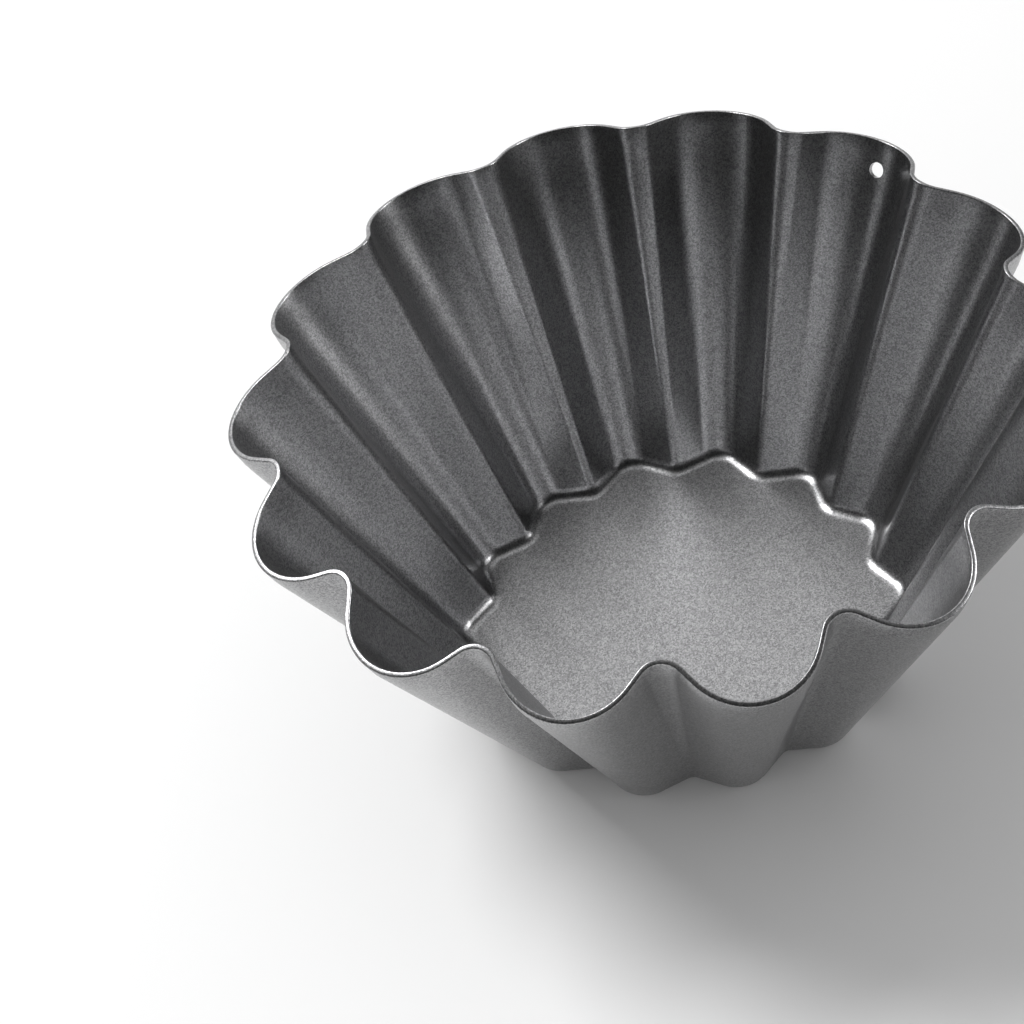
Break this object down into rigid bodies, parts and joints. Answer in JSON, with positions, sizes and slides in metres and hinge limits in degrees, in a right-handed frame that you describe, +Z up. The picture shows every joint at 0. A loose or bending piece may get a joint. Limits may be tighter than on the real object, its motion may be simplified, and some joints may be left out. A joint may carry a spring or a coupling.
{
  "type": "brioche mould",
  "caption": "Deep fluted brioche mould pressed from one round of coated steel sheet, with a wide flared cup, a flat floor and a small hang hole",
  "frame": {"origin": "centre of the flat underside, on the surface that the mould stands on", "axes": "+Z up along the cup's axis, +X through a fold between two flutes, +Y towards the back of the pictured view"},
  "size_m": [0.0978, 0.1, 0.045],
  "materials": {
    "coated_steel": "dark satin non-stick coating with fine metallic grain"
  },
  "bodies": {
    "root": {"mould_shell": "coated_steel"}
  },
  "joints": []
}
